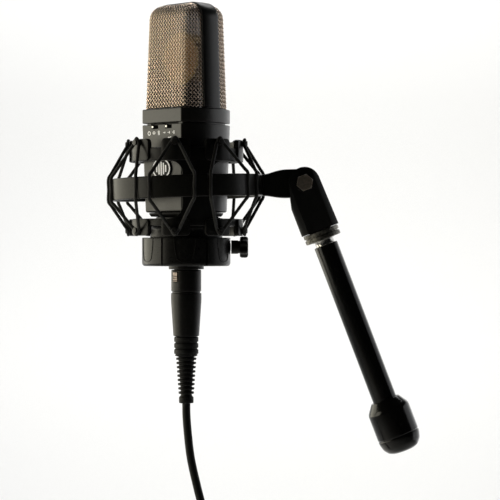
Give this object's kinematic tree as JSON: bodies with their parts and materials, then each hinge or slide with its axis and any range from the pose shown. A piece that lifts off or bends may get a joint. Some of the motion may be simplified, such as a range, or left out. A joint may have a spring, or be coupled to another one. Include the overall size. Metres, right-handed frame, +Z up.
{
  "type": "studio condenser microphone on boom mount",
  "caption": "Side-address studio microphone in an elastic cradle mount on a swivel and boom stub, with its lead and coiled cable.",
  "frame": {"origin": "centre of the flat end face of the boom fitting, where the stand's clutch takes it", "axes": "+Z up, the microphone's long axis upright; the camera side is -Y; the boom leans in the X-Z plane and the microphone stands on its -X side"},
  "size_m": [0.2029, 0.1025, 0.5088],
  "materials": {
    "satin_black_paint": "satin",
    "black_plastic": "fine moulded grain",
    "gloss_black_tube": "gloss",
    "champagne_mesh": "woven wire",
    "bright_steel": "polished",
    "brass": "turned",
    "gold_film": "metallised film",
    "bronze_bolt": "dark bronze plating",
    "elastic_cord": "braided",
    "cable_rubber": "matt",
    "circuit_green": "solder mask",
    "white_enamel": "enamel on black"
  },
  "bodies": {
    "boom": {"boom_tube": "gloss_black_tube", "boom_fitting": "black_plastic", "boom_stud": "bright_steel"},
    "jam_ring": {"lock_ring": "bright_steel"},
    "swivel": {"clevis": "black_plastic", "thread_insert": "brass", "swivel_bolt": "bronze_bolt", "swivel_nut": "bronze_bolt", "bolt_washer_front": "bronze_bolt", "bolt_washer_rear": "bronze_bolt", "friction_washer_front": "black_plastic", "friction_washer_rear": "black_plastic"},
    "arm": {"outer_ring": "black_plastic", "elastic_1": "elastic_cord", "elastic_2": "elastic_cord", "elastic_3": "elastic_cord", "elastic_4": "elastic_cord", "elastic_5": "elastic_cord", "elastic_6": "elastic_cord", "elastic_7": "elastic_cord", "elastic_8": "elastic_cord"},
    "suspended_cradle": {"cradle": "black_plastic", "clamp_cup": "black_plastic", "clamp_liner": "cable_rubber"},
    "thumb_screw": {"thumb_screw_shaft": "bright_steel", "thumb_screw_knob": "black_plastic"},
    "microphone": {"head_frame": "satin_black_paint", "grille_front": "champagne_mesh", "grille_rear": "champagne_mesh", "capsule_ring": "brass", "capsule_backplate": "brass", "diaphragm_front": "gold_film", "diaphragm_rear": "gold_film", "capsule_saddle": "black_plastic", "head_collar": "satin_black_paint", "body_shell": "satin_black_paint", "bottom_plate": "satin_black_paint", "base_stem": "satin_black_paint", "pattern_switch_housing": "black_plastic", "pad_switch_housing": "black_plastic", "circuit_board": "circuit_green", "output_transformer": "bright_steel", "badge": "white_enamel", "connector_shell": "satin_black_paint", "connector_insert": "black_plastic", "plug_shell": "satin_black_paint", "plug_insert": "black_plastic", "plug_boot": "cable_rubber", "cord_run": "cable_rubber", "cord_coil": "cable_rubber", "cord_tail": "cable_rubber", "coil_tie": "elastic_cord", "far_plug_boot": "cable_rubber", "far_plug_shell": "satin_black_paint", "far_plug_contacts": "gold_film"},
    "pattern_switch": {"pattern_switch_lever": "bright_steel"},
    "pad_switch": {"pad_switch_lever": "bright_steel"},
    "latch_button": {"plug_latch": "bright_steel"}
  },
  "joints": [
    {"name": "boom_swivel", "type": "hinge", "parent": "boom", "child": "swivel", "pos_m": [0, 0, 0], "axis": [-0.3567, 0, 0.9342], "continuous": true},
    {"name": "jam_ring_turn", "type": "hinge", "parent": "boom", "child": "jam_ring", "pos_m": [0, 0, 0], "axis": [-0.3567, 0, 0.9342], "continuous": true},
    {"name": "arm_tilt", "type": "hinge", "parent": "swivel", "child": "arm", "pos_m": [-0.06488, 0, 0.17326], "axis": [0, 1, 0], "range_deg": [-25, 110]},
    {"name": "suspension_bounce", "type": "slide", "parent": "arm", "child": "suspended_cradle", "axis": [0, 0, 1], "range_m": [-0.006, 0.006], "stiffness_N_per_m": 2500, "springref_m": 0.003, "deforming": ["elastic_1", "elastic_2", "elastic_3", "elastic_4", "elastic_5", "elastic_6", "elastic_7", "elastic_8"]},
    {"name": "thumb_screw_turn", "type": "hinge", "parent": "suspended_cradle", "child": "thumb_screw", "pos_m": [-0.1055, 0, 0.13176], "axis": [1, 0, 0], "continuous": true},
    {"name": "microphone_turn", "type": "hinge", "parent": "suspended_cradle", "child": "microphone", "pos_m": [-0.14148, 0, 0.12986], "axis": [0, 0, 1], "continuous": true},
    {"name": "pattern_switch_slide", "type": "slide", "parent": "microphone", "child": "pattern_switch", "axis": [0.7071, -0.7071, 0], "range_m": [0, 0.0034]},
    {"name": "pad_switch_slide", "type": "slide", "parent": "microphone", "child": "pad_switch", "axis": [0.7071, -0.7071, 0], "range_m": [0, 0.0034]},
    {"name": "latch_press", "type": "slide", "parent": "microphone", "child": "latch_button", "axis": [0.7071, 0.7071, 0], "range_m": [0, 0.0012], "stiffness_N_per_m": 300, "springref_m": -0.001}
  ]
}
